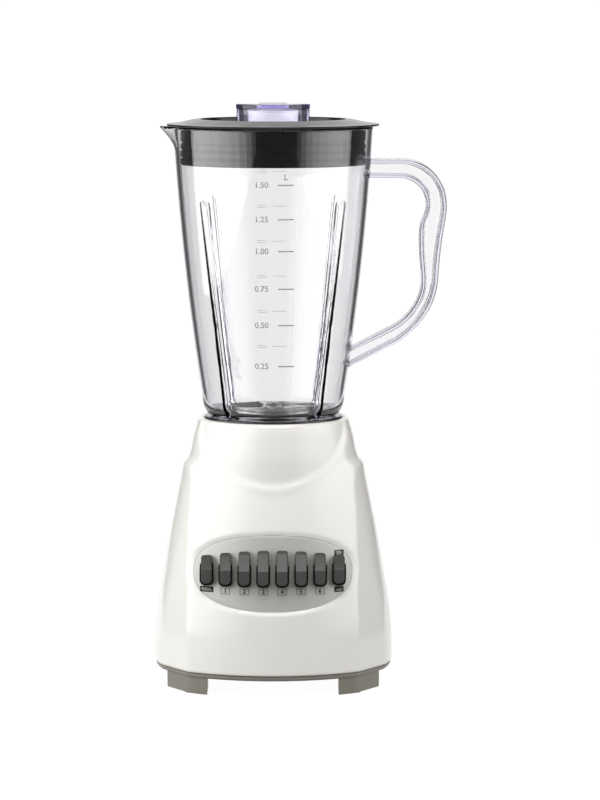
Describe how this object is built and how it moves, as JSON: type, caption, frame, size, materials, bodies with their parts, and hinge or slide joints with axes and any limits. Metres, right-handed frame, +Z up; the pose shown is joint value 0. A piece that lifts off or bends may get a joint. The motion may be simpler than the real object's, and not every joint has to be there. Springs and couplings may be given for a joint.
{
  "type": "countertop blender",
  "caption": "Countertop blender with a flared motor base, a row of push keys, a tall clear handled jar, a flat lid and a measuring cap.",
  "frame": {"origin": "on the motor's axis, on the surface that the foot pads stand on", "axes": "+Z up along the motor's axis, -Y out of the front where the keys are, +X towards the handle"},
  "size_m": [0.2012, 0.164, 0.3984],
  "materials": {
    "housing_white": "gloss white moulded shell",
    "plate_grey": "satin warm grey",
    "rubber_black": "matt black",
    "screw_steel": "zinc plated",
    "panel_silver": "fine speckled silver",
    "bezel_black": "semi-gloss black",
    "key_grey": "smooth dark grey",
    "switch_black": "moulded black",
    "board_green": "solder mask",
    "inlet_grey": "soft grey",
    "lamination": "varnished steel laminations",
    "copper": "enamelled copper",
    "bracket_alloy": "die cast",
    "bearing_steel": "polished",
    "holder_phenolic": "phenolic brown",
    "carbon": "graphite",
    "shaft_steel": "ground steel",
    "fan_nylon": "natural nylon",
    "coupling_black": "hard rubber",
    "jar_clear": "clear, faint violet edges",
    "collar_black": "black",
    "gasket_clear": "silicone",
    "dish_steel": "stainless",
    "bushing_brass": "sintered bronze",
    "blade_steel": "polished stainless",
    "lid_black": "gloss black",
    "cap_clear": "clear, faint violet"
  },
  "bodies": {
    "base": {"motor_housing": "housing_white", "base_plate": "plate_grey", "foot_pads": "rubber_black", "base_screws": "screw_steel", "control_panel": "panel_silver", "key_collars": "bezel_black", "switch_bank": "switch_black", "circuit_board": "board_green", "cord_inlet": "inlet_grey", "jar_seat_ring": "rubber_black", "stator_core": "lamination", "field_coils": "copper", "upper_motor_bracket": "bracket_alloy", "lower_motor_bracket": "bracket_alloy", "motor_screws": "screw_steel", "motor_grommets": "rubber_black", "motor_mount_screws": "screw_steel", "brush_holders": "holder_phenolic", "carbon_brushes": "carbon", "upper_bearing": "bearing_steel", "lower_bearing": "bearing_steel"},
    "rotor": {"motor_shaft": "shaft_steel", "armature_core": "lamination", "armature_windings": "copper", "commutator": "copper", "cooling_fan": "fan_nylon", "drive_coupling": "coupling_black"},
    "key_pulse": {"key_pulse": "key_grey"},
    "key_1": {"key_1": "key_grey"},
    "key_2": {"key_2": "key_grey"},
    "key_3": {"key_3": "key_grey"},
    "key_4": {"key_4": "key_grey"},
    "key_5": {"key_5": "key_grey"},
    "key_6": {"key_6": "key_grey"},
    "key_high_low": {"key_high_low": "key_grey"},
    "jar": {"jar": "jar_clear", "jar_handle": "jar_clear", "jar_collar": "collar_black", "jar_gasket": "gasket_clear", "blade_base": "dish_steel", "blade_bushing": "bushing_brass"},
    "blades": {"blade_shaft": "shaft_steel", "driven_coupling": "coupling_black", "lower_blade": "blade_steel", "upper_blade": "blade_steel", "blade_washer": "screw_steel", "blade_cap_nut": "screw_steel"},
    "lid": {"lid": "lid_black"},
    "cap": {"measuring_cap": "cap_clear"}
  },
  "joints": [
    {"name": "motor_spin", "type": "hinge", "parent": "base", "child": "rotor", "pos_m": [0, 0, 0.1], "axis": [0, 0, 1], "continuous": true},
    {"name": "jar_lift", "type": "slide", "parent": "base", "child": "jar", "axis": [0, 0, 1], "range_m": [0, 0.06]},
    {"name": "blade_spin", "type": "hinge", "parent": "jar", "child": "blades", "pos_m": [0, 0, 0.185], "axis": [0, 0, 1], "continuous": true},
    {"name": "lid_lift", "type": "slide", "parent": "jar", "child": "lid", "axis": [0, 0, 1], "range_m": [0, 0.05]},
    {"name": "cap_lift", "type": "slide", "parent": "lid", "child": "cap", "axis": [0, 0, 1], "range_m": [0, 0.04]},
    {"name": "key_pulse_press", "type": "slide", "parent": "base", "child": "key_pulse", "axis": [0, 0.9781, -0.2079], "range_m": [0, 0.0035], "stiffness_N_per_m": 300},
    {"name": "key_1_press", "type": "slide", "parent": "base", "child": "key_1", "axis": [0, 0.9781, -0.2079], "range_m": [0, 0.0035], "stiffness_N_per_m": 300},
    {"name": "key_2_press", "type": "slide", "parent": "base", "child": "key_2", "axis": [0, 0.9781, -0.2079], "range_m": [0, 0.0035], "stiffness_N_per_m": 300},
    {"name": "key_3_press", "type": "slide", "parent": "base", "child": "key_3", "axis": [0, 0.9781, -0.2079], "range_m": [0, 0.0035], "stiffness_N_per_m": 300},
    {"name": "key_4_press", "type": "slide", "parent": "base", "child": "key_4", "axis": [0, 0.9781, -0.2079], "range_m": [0, 0.0035], "stiffness_N_per_m": 300},
    {"name": "key_5_press", "type": "slide", "parent": "base", "child": "key_5", "axis": [0, 0.9781, -0.2079], "range_m": [0, 0.0035], "stiffness_N_per_m": 300},
    {"name": "key_6_press", "type": "slide", "parent": "base", "child": "key_6", "axis": [0, 0.9781, -0.2079], "range_m": [0, 0.0035], "stiffness_N_per_m": 300},
    {"name": "key_high_low_press", "type": "slide", "parent": "base", "child": "key_high_low", "axis": [0, 0.9781, -0.2079], "range_m": [0, 0.0035], "stiffness_N_per_m": 300}
  ],
  "couplings": [
    {"joint": "blade_spin", "follows": "motor_spin", "ratio": 1}
  ]
}
